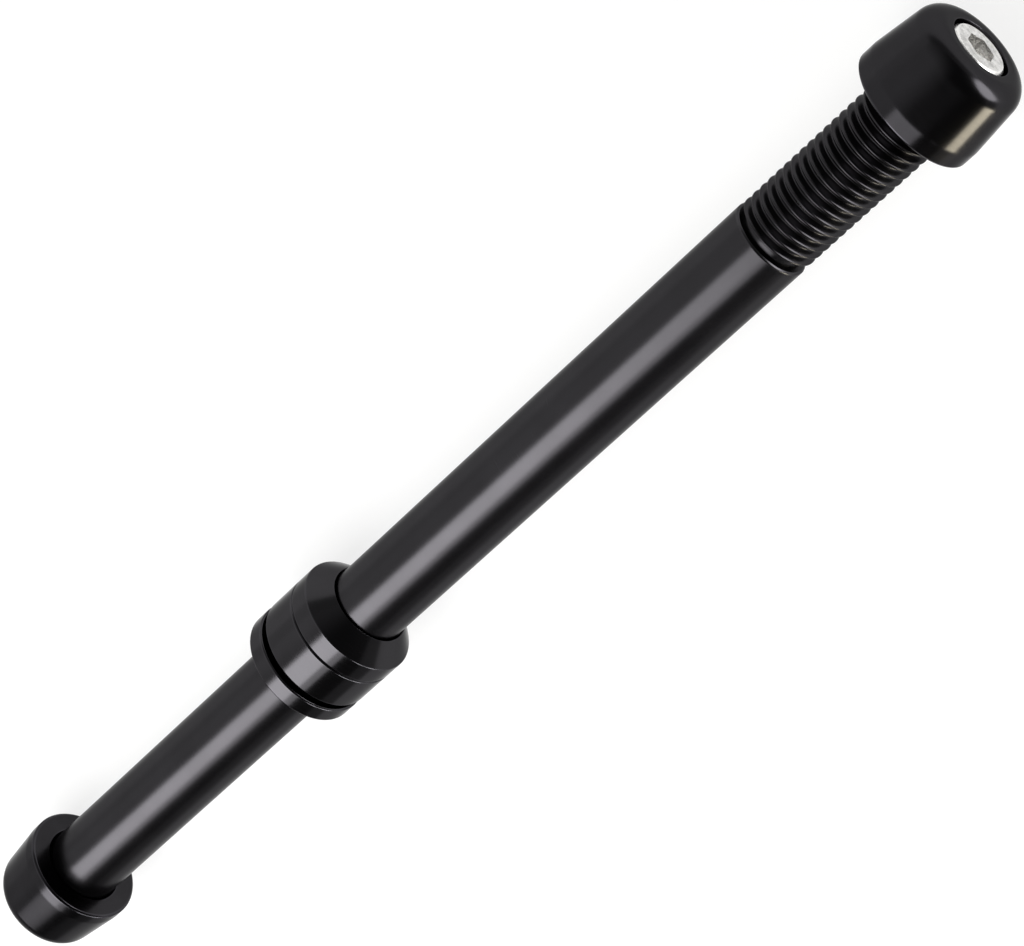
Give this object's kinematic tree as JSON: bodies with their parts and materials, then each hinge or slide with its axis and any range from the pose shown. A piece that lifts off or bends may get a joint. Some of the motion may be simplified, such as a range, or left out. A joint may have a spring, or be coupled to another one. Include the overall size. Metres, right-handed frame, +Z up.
{
  "type": "bicycle thru axle",
  "caption": "Black anodised bicycle thru axle with a threaded end, tapered end caps, loose spacer rings on the shaft and a socket-head cap screw.",
  "frame": {"origin": "on the shaft's axis, midway between the two outer ends", "axes": "+X along the shaft from the fixed head to the threaded end, +Z up, as the axle lies across a bicycle frame"},
  "size_m": [0.212, 0.0188, 0.0188],
  "materials": {
    "axle_shaft": "black anodised, satin",
    "head_cap": "black anodised, satin",
    "thin_spacer": "black anodised, satin",
    "wide_spacer": "black anodised, satin",
    "cone_ring": "black anodised, satin",
    "end_cap": "black anodised, satin",
    "cap_screw": "turned stainless steel"
  },
  "bodies": {
    "axle": {"axle_shaft": "axle_shaft", "head_cap": "head_cap"},
    "thin_spacer": {"thin_spacer": "thin_spacer"},
    "wide_spacer": {"wide_spacer": "wide_spacer"},
    "cone_ring": {"cone_ring": "cone_ring"},
    "end_cap": {"end_cap": "end_cap"},
    "cap_screw": {"cap_screw": "cap_screw"}
  },
  "joints": [
    {"name": "thin_spacer_slide", "type": "slide", "parent": "axle", "child": "thin_spacer", "axis": [1, 0, 0], "range_m": [-0.0576, 0.04]},
    {"name": "wide_spacer_slide", "type": "slide", "parent": "thin_spacer", "child": "wide_spacer", "axis": [1, 0, 0], "range_m": [-0.0011, 0.036]},
    {"name": "cone_slide", "type": "slide", "parent": "wide_spacer", "child": "cone_ring", "axis": [1, 0, 0], "range_m": [0, 0.0367]},
    {"name": "end_cap_draw", "type": "slide", "parent": "axle", "child": "end_cap", "axis": [1, 0, 0], "range_m": [0, 0.016]},
    {"name": "cap_screw_turn", "type": "hinge", "parent": "end_cap", "child": "cap_screw", "pos_m": [0.1009, 0, 0], "axis": [1, 0, 0], "range_deg": [0, 7200.5]}
  ],
  "couplings": [
    {"joint": "cap_screw_turn", "follows": "end_cap_draw", "rad_per_m": 7854}
  ]
}
